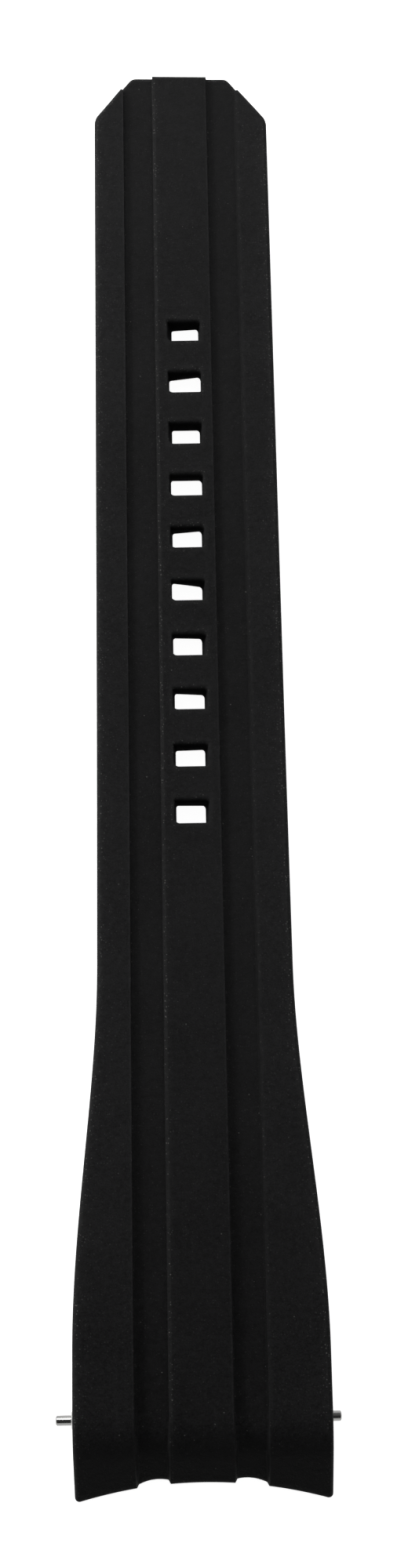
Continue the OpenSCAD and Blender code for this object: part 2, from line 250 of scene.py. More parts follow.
def tailColumns(inset):
    # Right half of the tail's outline, drawn in by the inset: x, y and the way the edge faces.
    # A flat tip, a round, a straight chamfer and another round, each tangent to the next.
    turn = math.atan2((strap["tailWidth"] - strap["tipFlat"]) / 2, strap["chamferLength"])
    sideX = strap["tailWidth"] / 2 - strap["sideRound"]
    sideY = strap["barToTip"] - strap["chamferLength"] - strap["sideRound"] * math.tan(turn / 2)
    tipX = strap["tipFlat"] / 2 - strap["tipRound"] * math.tan((math.pi / 2 - turn) / 2)
    tipY = strap["barToTip"] - strap["tipRound"]
    tipArc = np.linspace(math.pi / 2, turn, steps["fillet"] + 1)
    sideArc = np.linspace(turn, 0, steps["fillet"] + 1)
    tipPoints = cornerRound(tipX, tipY, strap["tipRound"] - inset, tipArc)
    sidePoints = cornerRound(sideX, sideY, strap["sideRound"] - inset, sideArc)
    flank = strap["flankRun"]
    flatX = np.concatenate([
        np.linspace(0, ribEdge - ribSide, steps["rib"] + 1),
        np.linspace(ribEdge - ribSide, ribEdge, steps["ribSide"] + 1)[1:],
        np.linspace(ribEdge, ribEdge + flank, steps["flank"] + 1)[1:],
        ribEdge + flank + (tipPoints[0, 0] - ribEdge - flank) * floorLines,
    ])
    chamferX = np.concatenate([
        np.linspace(tipPoints[-1, 0], bandEdge - flank, steps["floor"] + 1)[1:],
        np.linspace(bandEdge - flank, bandEdge, steps["flank"] + 1)[1:],
        bandEdge + (sidePoints[0, 0] - bandEdge) * bandLines,
    ])
    chamferY = np.interp(chamferX, [tipPoints[-1, 0], sidePoints[0, 0]], [tipPoints[-1, 1], sidePoints[0, 1]])
    flatY = np.full(len(flatX), strap["barToTip"] - inset)
    x = np.concatenate([flatX, tipPoints[:, 0], chamferX, sidePoints[:, 0]])
    y = np.concatenate([flatY, tipPoints[:, 1], chamferY, sidePoints[:, 1]])
    facing = np.concatenate([np.full(len(flatX), math.pi / 2), tipArc, np.full(len(chamferX), turn), sideArc])
    return x, y, facing


def strapRows():
    # Rows from the case end to the tail: share of the slope, turn of the bend, y, z, share of the tail zone.
    # They are evenly spaced in each part, and in the tail zone they crowd towards its end by a power.
    holeStep = 2 * holes["reach"] / steps["hole"]
    holeRowCount = (holes["count"] - 1) * (steps["hole"] + steps["holeGap"]) + steps["hole"] + 1
    holeRows = holeY[0] - holes["reach"] + holeStep * np.arange(holeRowCount)
    slope = np.linspace(1, 0, steps["slope"] + 1)[:-1]
    turns = np.linspace(bendTurn, 0, steps["bend"] + 1)[:-1]
    starting = strap["bendFrom"] + strap["rowStep"] * np.arange(steps["start"] + 1)
    level = np.concatenate([
        starting[:-1],
        np.linspace(starting[-1], holeRows[0], steps["flare"] + 1)[:-1],
        holeRows,
        np.linspace(holeRows[-1], tailFrom, steps["plain"] + 1)[1:],
    ])
    tail = 1 - (1 - np.linspace(0, 1, steps["tail"] + 1)[1:]) ** strap["tailCrowding"]
    counts = [len(slope), len(turns), len(level), len(tail)]
    share = np.concatenate([slope, np.zeros(sum(counts[1:]))])
    turn = np.concatenate([np.full(counts[0], bendTurn), turns, np.zeros(counts[2] + counts[3])])
    y = np.concatenate([
        np.full(counts[0], bendY),
        strap["bendFrom"] - bendRadius * np.sin(turns),
        level,
        np.full(counts[3], tailFrom),
    ])
    z = np.concatenate([
        np.full(counts[0], bendZ),
        strap["caseThickness"] - bendRadius * (1 - np.cos(turns)),
        topHeight(level),
        np.full(counts[3], strap["tailThickness"]),
    ])
    tailShare = np.concatenate([np.zeros(sum(counts[:3])), tail])
    firstHoleRow = counts[0] + counts[1] + steps["start"] + steps["flare"]
    return share, turn, y, z, tailShare, firstHoleRow


def dustAndLightMark(x, reach):
    # How much dust and painted highlight lie at x, and painted light on the shaded walls: the sum of the bells
    # over the walls and of the decays from the outer edge, each of them its strength times e to minus the
    # distance from that edge over its length
    caught = sum(strength * bell(x, middle, width, power) for middle, width, power, strength in dustAndLightBells)
    fading = sum(strength * np.exp(-(reach - abs(x)) / length) for strength, length in dustAndLightDecays)
    return np.clip(caught + fading, 0, 1)


def paintedShading(x, y, turned):
    # Painted light and shade in the rubber's tone: one level each on bands, rib and grooves, the grooves
    # darker as painted shade in their hollows; paler in bells over the right-facing walls as painted light in
    # their shade, and darker in bells before the left-facing ones as painted shade, times a parabola of the
    # bend's turn that starts at 1, rises on the way as painted light and ends at slopePale as painted shade on
    # the end slope; the grooves rise more
    groove = grooveShare(x)
    flat = np.where(abs(x) < strap["grooveSpacing"] / 2, marks["ribPale"], marks["bandPale"])
    rise = marks["bendRise"] * turned * (1 - turned)
    pit = marks["groovePaleTail"] + (marks["groovePaleCase"] - marks["groovePaleTail"]) * (1 - thinning(y))
    pit = pit * (1 + rise)
    bend = 1 + rise - (1 - marks["slopePale"]) * turned ** 2
    ribFoot, bandFoot = ribEdge + strap["flankRun"], bandEdge - strap["flankRun"]
    paler = bell(x, ribFoot, marks["palerWidth"]) + bell(x, -bandFoot, marks["palerWidth"])
    darker = (bell(x, -ribFoot - marks["darkerPlace"], marks["darkerWidth"])
              + bell(x, bandFoot - marks["darkerPlace"], marks["darkerWidth"]))
    walls = 1 + marks["palerFoot"] * paler - marks["darkerFoot"] * darker
    return (flat * (1 - groove) + pit * groove) * bend * walls


def unit(vectors):
    # Each row divided by its own length
    return vectors / np.linalg.norm(vectors, axis=1)[:, None]


def strapSkin():
    # Patches of the whole skin. A top point is its row's place, less the slope's share of the way down the end
    # face, plus the tail zone's share of the outline, sunk by the groove's depth at right angles to its row.
    inset = strap["edgeRound"]
    columnX, columnY, columnFacing = tailColumns(inset)
    share, turn, rowY, rowZ, tailShare, firstHoleRow = strapRows()
    rows, half = len(share), len(columnX)
    columns = 2 * half - 1
    order = np.abs(np.arange(columns) - (half - 1))
    side = np.sign(np.arange(columns) - (half - 1))
    # Columns keep their x as far as the band, and share out the rest of the width across it
    reach = np.where(tailShare > 0, strap["tailWidth"] / 2, halfWidth(rowY)) - inset
    bandShare = np.clip((columnX[order] - bandEdge) / (columnX[-1] - bandEdge), 0, 1)
    inner = np.minimum(columnX[order], bandEdge)
    x = side * (inner[None, :] + bandShare[None, :] * (reach[:, None] - bandEdge))
    # The slope runs down past the bend, the tail zone stretches to the outline
    down = share[:, None] * (strap["slopeLength"] - inset + x ** 2 / (2 * strap["caseRadius"]) - endScoop(x))
    stretch = tailShare[:, None] * (columnY[order] - tailFrom)[None, :]
    y = rowY[:, None] - down * np.cos(turn)[:, None] + stretch
    y = y - strap["tailSkew"] * tailShare[:, None] * x
    z = rowZ[:, None] - down * np.sin(turn)[:, None]
    sink = grooveDepth(x, y)
    # The outer edge's round carries dust and painted highlight, the top its dust, painted highlights and
    # painted light and shade; less of the dust and highlight on the bend
    ringMark = np.concatenate([np.full((steps["edge"] + 1, 1), marks["edgeDustAndHighlight"]),
                               np.zeros((steps["wall"] + steps["back"], 1))])
    turned = (turn / bendTurn)[:, None]
    topDustAndLight = dustAndLightMark(x, reach[:, None]) * (1 - marks["topDustAndLightLost"] * turned)
    topPale = paintedShading(x, y, turned)
    # The walls lean out towards the case end: a zigzag of x with its corners at the walls' tops and feet
    run = strap["flankRun"]
    zigzag = np.interp(abs(x), [ribEdge, ribEdge + run, bandEdge - run, bandEdge], [0, 1, -1, 0])
    x = x + np.sign(x) * strap["endFlank"] * zigzag * ease(turned)
    # The rib lies a little to the left of the middle; the bands' outer edges stay
    x = x + strap["grooveShift"] * (1 - bandShare) ** 2
    sine, cosine = np.sin(turn)[:, None], np.cos(turn)[:, None]
    top = np.stack([x, y + sink * sine, z - sink * cosine], axis=-1)
    back = np.stack([x, y + z * sine / cosine, np.zeros_like(x)], axis=-1)

    # Walk round the edge: up the right side, across the tail, down the left side, across the case end
    lastRow, lastColumn = rows - 1, columns - 1
    across = np.arange(lastColumn - 1, 0, -1)
    walkRow = np.concatenate([np.arange(rows), np.full(len(across), lastRow), np.arange(lastRow, -1, -1)])
    walkColumn = np.concatenate([np.full(rows, lastColumn), across, np.zeros(rows, int)])
    sideways = np.zeros((rows, 3)) + [1, 0, 0]
    tailFacing = np.stack([np.where(side[across] < 0, -1, 1) * np.cos(columnFacing[order[across]]),
                           np.sin(columnFacing[order[across]]), np.zeros(len(across))], axis=1)
    lean = x[0] / strap["caseRadius"]
    endFacing = unit(np.stack([-lean, np.full(columns, -math.cos(bendTurn)),
                               np.full(columns, -math.sin(bendTurn))], axis=1))
    blend = np.linspace(0, 1, steps["corner"] + 1)[1:-1, None]
    leftFan = sideways[:1] * -(1 - blend) + endFacing[:1] * blend
    rightFan = endFacing[-1:] * (1 - blend) + sideways[:1] * blend
    walkRow = np.concatenate([walkRow, np.zeros(2 * len(blend) + columns, int)])
    walkColumn = np.concatenate([walkColumn, np.zeros(len(blend), int), np.arange(columns),
                                 np.full(len(blend), lastColumn)])
    facing = unit(np.concatenate([sideways, tailFacing, -sideways, leftFan, endFacing, rightFan]))
    wallDown = np.stack([np.zeros(len(walkRow)), np.sin(turn[walkRow]), -np.cos(turn[walkRow])], axis=1)

    # Rings: a quarter round of the outer edge, the wall, and a softer round to the back
    edge = top[walkRow, walkColumn]
    quarter = np.linspace(0, math.pi / 2, steps["edge"] + 1)[:, None, None]
    rounding = edge + facing * inset * np.sin(quarter) + wallDown * inset * (1 - np.cos(quarter))
    foot = rounding[-1] + wallDown * (rounding[-1][:, 2] / -wallDown[:, 2])[:, None]
    wallEnd = foot - wallDown * strap["backRound"]
    wallShare = np.linspace(0, 1, steps["wall"] + 1)[1:, None, None]
    wall = rounding[-1] + (wallEnd - rounding[-1]) * wallShare
    t = np.linspace(0, 1, steps["back"] + 1)[1:, None, None]
    backEdge = back[walkRow, walkColumn]
    under = wallEnd * (1 - t) ** 2 + 2 * foot * t * (1 - t) + backEdge * t ** 2
    rings = np.concatenate([rounding, wall, under])

    # The rounded slots take a window out of the rib and the back, ten times over
    windowRows = firstHoleRow + np.arange(holes["count"]) * (steps["hole"] + steps["holeGap"])
    windowColumns = half - 1 + np.array([-steps["rib"], steps["rib"]])
    gridKeep = np.ones((rows - 1, columns - 1), bool)
    for r in windowRows:
        gridKeep[r:r + steps["hole"], windowColumns[0]:windowColumns[1]] = False
    gridCells = gridQuads(rows, columns)[gridKeep]
    slots = slotSkin(top, back, windowRows, windowColumns)

    # The bore takes a window out of both side walls
    firstRow, endRow = (steps["slope"] + r for r in steps["boreRows"])
    ringLow = steps["edge"] + steps["boreMargin"]
    ringHigh = steps["edge"] + steps["wall"] - steps["boreMargin"]
    ringKeep = np.ones((len(rings) - 1, len(edge)), bool)
    leftStart = rows + len(across)
    ringKeep[ringLow:ringHigh, firstRow:endRow] = False
    ringKeep[ringLow:ringHigh, leftStart + lastRow - endRow:leftStart + lastRow - firstRow] = False
    ringCells = gridQuads(len(rings), len(edge), wrap=True)[..., flipped][ringKeep]
    ringDustAndLight = ringMark * (1 - marks["edgeDustAndHighlightLost"] * turned[walkRow, 0])
    bore = boreSkin(rings, firstRow, endRow, ringLow, ringHigh)

    return [
        (top, gridCells, (topDustAndLight, topPale), 0),
        (back, gridCells[..., flipped], (0.0, marks["bandPale"]), 0),
        (rings, ringCells, (ringDustAndLight, topPale[walkRow, walkColumn]), 0),
        slots,
        bore,
    ]


def slotLoop(grow):
    # Rectangle with four corner radii, drawn from its near right corner; two sides share a corner's arc
    arcSteps = steps["hole"] // 4
    straightSteps = steps["hole"] - 2 * arcSteps
    fine = np.linspace(-math.pi / 4, 0, arcSteps + 1)
    halfWide, halfLong = holes["width"] / 2, holes["length"] / 2
    points = []
    for quarter in range(4):
        out, along = (halfLong, halfWide) if quarter % 2 else (halfWide, halfLong)
        low, high = holes["corners"][quarter], holes["corners"][(quarter + 1) % 4]
        first = cornerRound(out - low, low - along, low + grow, fine)
        straight = np.stack([np.full(straightSteps - 1, out + grow),
                             np.linspace(low - along, along - high, straightSteps + 1)[1:-1]], axis=1)
        last = cornerRound(out - high, along - high, high + grow, -fine[::-1])[:-1]
        local = np.concatenate([first, straight, last])
        c, s = round(math.cos(quarter * math.pi / 2)), round(math.sin(quarter * math.pi / 2))
        points.append(local @ np.array([[c, s], [-s, c]]))
    return np.concatenate(points)


def windowLoop(grid, firstRow, rowSteps, firstColumn, columnSteps):
    # Grid points round a window, from its right lower corner up the right side and on to the left
    r, c = firstRow, firstColumn
    lastR, lastC = r + rowSteps, c + columnSteps
    return np.concatenate([
        grid[r:lastR, lastC],
        grid[lastR, lastC:c:-1],
        grid[lastR:r:-1, c],
        grid[r, c:lastC],
    ])


def slotSkin(top, back, windowRows, windowColumns):
    # Rings from the window in the rib in to the slot's rim, down its wall, and out to the window in the back;
    # from one outline to the next, every point goes along a straight line
    width = windowColumns[1] - windowColumns[0]
    topLoops, backLoops = (np.stack([windowLoop(grid, r, steps["hole"], windowColumns[0], width)
                                     for r in windowRows]) for grid in (top, back))
    spread = np.linspace(1, 0, steps["spread"] + 1)[:-1]
    rimTurn = np.linspace(0, math.pi / 2, steps["rim"] + 1)
    middle = holeY[:, None]
    rings = []
    near, far, askew, left, right = (np.array(holes[k])[::-1, None]
                                     for k in ("near", "footFar", "footAskew", "footLeft", "footRight"))

    def placed(loop):
        # A loop on each hole's middle, its near side moved out by the hole's own amount, and its far share
        alongShare = np.clip(loop[None, :, 1] / (holes["length"] / 2), -1, 1)
        return middle + loop[None, :, 1] + near * np.minimum(alongShare, 0), np.maximum(alongShare, 0)

    opening = slotLoop(holes["rim"])
    openingY = placed(opening)[0]
    for t in spread:
        px = topLoops[..., 0] * t + opening[None, :, 0] * (1 - t)
        py = topLoops[..., 1] * t + openingY * (1 - t)
        rings.append(np.stack([px, py, topHeight(py)], axis=-1))
    # A quarter round, which grows towards the far side
    for a in rimTurn:
        loop = slotLoop(holes["rim"] * (1 - math.sin(a)))
        py, farShare = placed(loop)
        farther = (holes["farRim"] - holes["rim"]) * farShare ** holes["farRimPower"]
        py = py - farther * math.sin(a)
        pz = topHeight(py) - (holes["rim"] + farther) * (1 - math.cos(a))
        rings.append(np.stack([loop[None, :, 0] + 0 * py, py, pz], axis=-1))
    upper = rings[-1]

    def footLoop(grow, height):
        # At the foot the sides are drawn in and the far side out, each by its hole's own amounts
        loop = slotLoop(grow)
        acrossShare = np.clip(loop[None, :, 0] / (holes["width"] / 2), -1, 1)
        px = loop[None, :, 0] - acrossShare * np.where(acrossShare > 0, right, left)
        py, farShare = placed(loop)
        py = py + farShare * (far + askew * acrossShare)
        return np.stack([px, py, height + 0 * py], axis=-1)

    low = footLoop(0, holes["backRim"])
    for t in (0.33, 0.67):
        rings.append(upper * (1 - t) + low * t)
    for a in rimTurn[::2]:
        rings.append(footLoop(holes["backRim"] * (1 - math.cos(a)), holes["backRim"] * (1 - math.sin(a))))
    outer = rings[-1]
    for t in (0.5, 1):
        rings.append(outer * (1 - t) + backLoops * t)
    points = np.stack(rings, axis=1)
    count, ringCount, loopCount = points.shape[:3]
    slotStart = (np.arange(count) * ringCount * loopCount)[:, None, None, None]
    cells = gridQuads(ringCount, loopCount, wrap=True)[None] + slotStart
    # The wall's rings take the duller finish whose tones are painted paler as painted light
    finish = np.zeros(cells.shape[:-1], int)
    finish[:, slice(*holes["wallRings"])] = 1
    rimDust = np.zeros((ringCount, 1))
    rimDust[slice(*holes["dustRings"])] = marks["rimDust"]
    # Painted light: the wall's rings are painted paler
    pale = np.full((ringCount, 1), marks["ribPale"])
    pale[slice(*holes["paleRings"]), 0] = holes["wallPale"]
    return points, cells, (rimDust, pale), finish


def boreSkin(rings, firstRow, endRow, ringLow, ringHigh):
    # Rings from the window in the right wall in to the bore's mouth, through the strap and out on the left:
    # straight lines to a circle, a quarter round, and the same again mirrored
    wall = rings[:, firstRow:endRow + 1]
    low, high = ringHigh, ringLow
    span = endRow - firstRow
    loop = np.concatenate([
        wall[low, 0:span],
        wall[low:high:-1, span],
        wall[high, span:0:-1],
        wall[high:low, 0],
    ])[:, 1:]
    centre = np.array([0, barHeight])
    ray = unit(loop - centre)
    mouth = strap["boreMouth"]
    wallX = rings[low, firstRow, 0]
    rightRings = []
    for t in np.linspace(1, 0, steps["spread"] + 1)[:-1]:
        flat = loop * t + (centre + ray * (strap["boreRadius"] + mouth)) * (1 - t)
        rightRings.append((flat, wallX))
    for a in np.linspace(0, math.pi / 2, steps["boreRound"] + 1):
        rightRings.append((centre + ray * (strap["boreRadius"] + mouth * (1 - math.sin(a))),
                           wallX - mouth * (1 - math.cos(a))))
    stack = [np.column_stack([np.full(len(p), x), p]) for p, x in rightRings]
    stack += [np.column_stack([np.full(len(p), -x), p]) for p, x in rightRings[::-1]]
    points = np.stack(stack)
    return points, gridQuads(len(points), len(loop), wrap=True), (0.0, marks["bandPale"]), 0


# The marks go on as attributes: dust with painted highlight, and painted light and shade
strapBody = meshPiece("strapBody", strapSkin(), toFrame, ("edgeDustAndHighlight", "paintedShading"))
print("strap built")

# Spring bar: lengths run along the bar from its own middle
bar = {
    "offset": 0.315, "barrelRadius": 0.75, "barrelWall": 0.13, "barrelLength": 19.7, "barrelEnd": 0.15,
    "barrelRound": 0.2, "roundSteps": 6, "lip": 0.03, "tipRadius": 0.4, "tipReach": 1.2, "tipChamfer": 0.1,
    "tipClearance": 0.03, "tipBlend": 0.02, "collarClearance": 0.035, "collarLength": 0.6,
    "collarChamfer": 0.05, "seat": 0.02, "around": 48,
}
coil = {"wire": 0.2, "turns": 24, "clearance": 0.07, "around": 10, "perTurn": 24, "press": 1.1}


def lathe(name, profile):
    # A profile of distance along the bar and radius, carried round the bar's axis; ends at radius 0 close it
    angle = np.linspace(0, 2 * math.pi, bar["around"] + 1)[:-1]
    along, radius = np.array(profile).T
    points = np.stack([
        along[:, None] + 0 * angle[None, :] - bar["offset"],
        radius[:, None] * np.cos(angle)[None, :],
        radius[:, None] * np.sin(angle)[None, :] + barHeight,
    ], axis=-1)
    cells = gridQuads(len(along), len(angle), wrap=True)[..., flipped]
    return meshPiece(name, [(points, cells, (), 0)], toFrame)


def mirrored(profile):
    # The same profile on the bar's other half, in the order that keeps its faces outward
    return [(-x, r) for x, r in profile][::-1]


halfBarrel = bar["barrelLength"] / 2
boreOfBarrel = bar["barrelRadius"] - bar["barrelWall"]
endHole = bar["tipRadius"] + bar["tipClearance"]
endInside = halfBarrel - bar["barrelEnd"]
rightEnd = cornerRound(halfBarrel - bar["barrelRound"], bar["barrelRadius"] - bar["barrelRound"],
                       bar["barrelRound"], np.linspace(math.pi / 2, 0, bar["roundSteps"] + 1)).tolist()
innerRight = [(halfBarrel, endHole + bar["lip"]), (halfBarrel - bar["lip"], endHole), (endInside, endHole),
              (endInside, boreOfBarrel)]
barrelProfile = mirrored(rightEnd) + rightEnd + innerRight + mirrored(innerRight)
barBarrel = lathe("barBarrel", barrelProfile + barrelProfile[:1])

collarTo = endInside - bar["seat"]
collarFrom = collarTo - bar["collarLength"]
collarRadius = boreOfBarrel - bar["collarClearance"]
collarFace = collarRadius - bar["collarChamfer"]
tipEnd = halfBarrel + bar["tipReach"]
tipFace = bar["tipRadius"] - bar["tipChamfer"]
pinProfile = [
    (collarFrom, 0), (collarFrom, collarFace), (collarFrom + bar["collarChamfer"], collarRadius),
    (collarTo - bar["collarChamfer"], collarRadius), (collarTo, collarFace),
    (collarTo, bar["tipRadius"] + bar["tipBlend"]), (collarTo + bar["tipBlend"], bar["tipRadius"]),
    (tipEnd - bar["tipChamfer"], bar["tipRadius"]), (tipEnd - bar["tipBlend"], tipFace + bar["tipBlend"]),
    (tipEnd, tipFace - bar["tipBlend"]), (tipEnd, 0),
]
rightPin = lathe("rightPin", pinProfile)
leftPin = lathe("leftPin", mirrored(pinProfile))


def coilHalf(name, sign):
    # A helix from the bar's middle to a collar: the wire's circle carried along radius and pitch
    radius = boreOfBarrel - coil["clearance"] - coil["wire"] / 2
    reach = collarFrom - bar["seat"] - coil["wire"] / 2
    turn = np.linspace(0, coil["turns"] / 2, coil["turns"] // 2 * coil["perTurn"] + 1) * sign
    pitch = 2 * reach / coil["turns"]
    phase = 2 * math.pi * turn
    centre = np.stack([turn * pitch - bar["offset"], radius * np.cos(phase),
                       radius * np.sin(phase) + barHeight], axis=1)
    outward = np.stack([0 * phase, np.cos(phase), np.sin(phase)], axis=1)
    along = unit(np.stack([np.full(len(phase), pitch), -2 * math.pi * radius * np.sin(phase),
                           2 * math.pi * radius * np.cos(phase)], axis=1))
    side = np.cross(along, outward)
    ring = np.linspace(0, 2 * math.pi, coil["around"] + 1)[:-1]
    points = (centre[:, None] + coil["wire"] / 2 * (outward[:, None] * np.cos(ring)[None, :, None]
                                                    + side[:, None] * np.sin(ring)[None, :, None]))
    points = np.concatenate([np.repeat(centre[:1, None], coil["around"], 1), points,
                             np.repeat(centre[-1:, None], coil["around"], 1)])
    cells = gridQuads(len(points), coil["around"], wrap=True)
    return meshPiece(name, [(points, cells if sign > 0 else cells[..., flipped], (), 0)], toFrame)


coilLeft = coilHalf("coilLeft", -1)
coilRight = coilHalf("coilRight", 1)
print("spring bar built")

# Which body each piece rides on, and the node it stands for
for piece, body, node, slotName in (
    (strapBody, "strap", "strap_body", "silicone"),
    (barBarrel, "spring_bar", "bar_tube", "bar_steel"),
    (coilLeft, "spring_bar", "bar_spring", "spring_wire"),
    (coilRight, "spring_bar", "bar_spring", "spring_wire"),
    (leftPin, "left_pin", "left_plunger", "tip_steel"),
    (rightPin, "right_pin", "right_plunger", "tip_steel"),
):
    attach(piece, body)
    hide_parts(node)
for piece, joint in ((coilLeft, "left_press"), (coilRight, "right_press")):
    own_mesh(piece)
print("bodies set")

# Finishes; sizes of grain, specks and streaks are in millimetres
rubberFinish = {
    "shade": (0.0046, 0.0046, 0.0047), "bloom": (0.0226, 0.0226, 0.0233), "wornAndLit": (0.03, 0.03, 0.03),
    "dust": (0.3, 0.295, 0.28), "grain": 0.14, "pores": 0.4, "drift": 5.0, "mottle": (0.52, 0.32, 0.16),
    "wearAndLight": 0.45, "rubbedAndLit": (0.55, 1.0), "poreRelief": 1.5, "bumpDepth": 0.025,
    "specular": 0.08, "roughness": (0.6, 0.74), "dustRoughness": 0.3,
    "speckSpacing": 0.8, "speckSize": 0.04, "speckShare": 0.3, "speckGlow": 0.26,
    "motesSpacing": 0.22, "motesSize": 0.15, "motesShare": (0.5, 1.0), "motesGlow": (0.045, 0.36),
}
# The slot walls' finish: duller, with a paler tone that is painted light on the walls
slotFinishPaintedLight = dict(rubberFinish, shade=(0.0165, 0.0165, 0.017), bloom=(0.0226, 0.0226, 0.0233), specular=0.004,
                  roughness=(0.8, 0.95), speckShare=0.05, motesShare=(0.03, 1.0))
# Light and dark tone, size and stretch of the streaks, and roughness
steelFinish = {
    "barrel": ((0.58, 0.58, 0.57), (0.42, 0.42, 0.41), 0.05, 40.0, (0.24, 0.38)),
    "tips": ((0.29, 0.29, 0.286), (0.17, 0.17, 0.167), 0.05, 0.02, (0.08, 0.16)),
    "wire": ((0.5, 0.5, 0.5), (0.32, 0.32, 0.33), 0.04, 6.0, (0.28, 0.45)),
}
steelWear = {
    "streaks": 0.7, "stain": (0.3, 0.29, 0.27), "stainSize": 0.6, "stainShare": 0.25,
    "speck": (0.12, 0.11, 0.1), "speckSpacing": 0.4, "speckSize": 0.1, "speckShare": 0.12, "speckDepth": 0.6,
    "speckRoughness": 0.4, "bumpDepth": 0.001,
}
# The middle range of a noise, which a mask stretches out
noiseMiddle = {"From Min": 0.35, "From Max": 0.65}


def place(tree, kind, inputs=None, **settings):
    # Puts a node in a tree; an input given as a socket is linked, and any other value is set on it
    made = tree.nodes.new(kind)
    for key, value in settings.items():
        setattr(made, key, value)
    for key, value in (inputs or {}).items():
        if isinstance(value, bpy.types.NodeSocket):
            tree.links.new(value, made.inputs[key])
        else:
            made.inputs[key].default_value = value
    return made


def reckon(tree, operation, first, second, clamp=False):
    # One sum, product, quotient, comparison or larger value of two values
    made = place(tree, "ShaderNodeMath", {0: first, 1: second}, operation=operation, use_clamp=clamp)
    return made.outputs[0]


def between(tree, value, low, high):
    # The low value plus the value's share of the way to the high one
    return place(tree, "ShaderNodeMapRange", {"Value": value, "To Min": low, "To Max": high}).outputs[0]


def scaled(tree, value, factor):
    # The value times the factor
    return reckon(tree, "MULTIPLY", value, factor)


def perMetre(tree, size):
    # A size in millimetres as a texture's scale: 1000 divided by the size
    return reckon(tree, "DIVIDE", 1000.0, size)


def shaderGroup(name, inputs, outputs):
    # A node group with its named sockets, and its two end nodes
    group = bpy.data.node_groups.new(name, "ShaderNodeTree")
    for socketName, kind, value in inputs:
        socket = group.interface.new_socket(socketName, in_out="INPUT", socket_type="NodeSocket" + kind)
        if value is not None:
            socket.default_value = value
    for socketName in outputs:
        group.interface.new_socket(socketName, in_out="OUTPUT", socket_type="NodeSocketFloat")
    return group, group.nodes.new("NodeGroupInput").outputs, group.nodes.new("NodeGroupOutput").inputs


def noiseLayer(tree, outer, vector, size, detail, roughness):
    # Noise of a size as a height, and its middle range stretched out from 0 to 1 as a mask
    noise = place(tree, "ShaderNodeTexNoise", {
        "Vector": vector, "Scale": perMetre(tree, size), "Detail": detail, "Roughness": roughness}).outputs[0]
    spread = place(tree, "ShaderNodeMapRange", {"Value": noise, **noiseMiddle})
    tree.links.new(noise, outer["Height"])
    tree.links.new(spread.outputs[0], outer["Mask"])


def grainGroup():
    # Noise in four octaves as a height and a mask
    sockets = [("Vector", "Vector", None), ("Size", "Float", 0.1)]
    tree, inner, outer = shaderGroup("moldedGrain", sockets, ["Height", "Mask"])
    noiseLayer(tree, outer, inner["Vector"], inner["Size"], 3.0, 0.6)
    return tree


def speckGroup():
    # Round specks: where the distance to a scattered point is under the size, in the given share of the cells
    sockets = [("Vector", "Vector", None), ("Spacing", "Float", 0.8), ("Size", "Float", 0.1),
               ("Share", "Float", 0.3)]
    tree, inner, outer = shaderGroup("dustSpecks", sockets, ["Mask"])
    cells = place(tree, "ShaderNodeTexVoronoi", {
        "Vector": inner["Vector"], "Scale": perMetre(tree, inner["Spacing"])}).outputs
    chance = place(tree, "ShaderNodeSeparateColor", {0: cells["Color"]}).outputs
    grown = reckon(tree, "ADD", scaled(tree, chance[1], inner["Size"]), inner["Size"])
    ratio = reckon(tree, "DIVIDE", cells["Distance"], grown)
    disc = place(tree, "ShaderNodeMapRange", {"Value": ratio, "From Min": 1.0, "From Max": 0.6}).outputs[0]
    chosen = reckon(tree, "LESS_THAN", chance[0], inner["Share"])
    tree.links.new(scaled(tree, disc, chosen), outer["Mask"])
    return tree


def streakGroup():
    # Noise drawn out along the bar by the stretch; under 1 it becomes rings round the bar
    sockets = [("Vector", "Vector", None), ("Size", "Float", 0.05), ("Stretch", "Float", 1.0)]
    tree, inner, outer = shaderGroup("toolStreaks", sockets, ["Height", "Mask"])
    parts = place(tree, "ShaderNodeSeparateXYZ", {0: inner["Vector"]}).outputs
    drawn = reckon(tree, "DIVIDE", parts[0], inner["Stretch"])
    joined = place(tree, "ShaderNodeCombineXYZ", {0: drawn, 1: parts[1], 2: parts[2]}).outputs[0]
    noiseLayer(tree, outer, joined, inner["Size"], 2.0, 0.5)
    return tree


grainTree, speckTree, streakTree = grainGroup(), speckGroup(), streakGroup()


def newMaterial(name):
    # A material with its node tree and its Principled shader
    material = bpy.data.materials.new(name)
    material.use_nodes = True
    tree = material.node_tree
    return material, tree, tree.nodes["Principled BSDF"]


def tint(tree, amount, first, second):
    # A colour between two others; each is a socket or three numbers
    values = {0: amount}
    for index, colour in ((6, first), (7, second)):
        values[index] = colour if isinstance(colour, bpy.types.NodeSocket) else (*colour, 1)
    return place(tree, "ShaderNodeMix", values, data_type="RGBA").outputs[2]


def grouped(tree, group, **inputs):
    # A node group's outputs, with its inputs set by name
    return place(tree, "ShaderNodeGroup", inputs, node_tree=group).outputs


def bumped(tree, shader, height, depth):
    # The shader's normal leaned by a height that stands for the depth in millimetres
    bump = place(tree, "ShaderNodeBump", {"Height": height, "Distance": depth * mm, "Strength": 1.0})
    tree.links.new(bump.outputs[0], shader.inputs["Normal"])


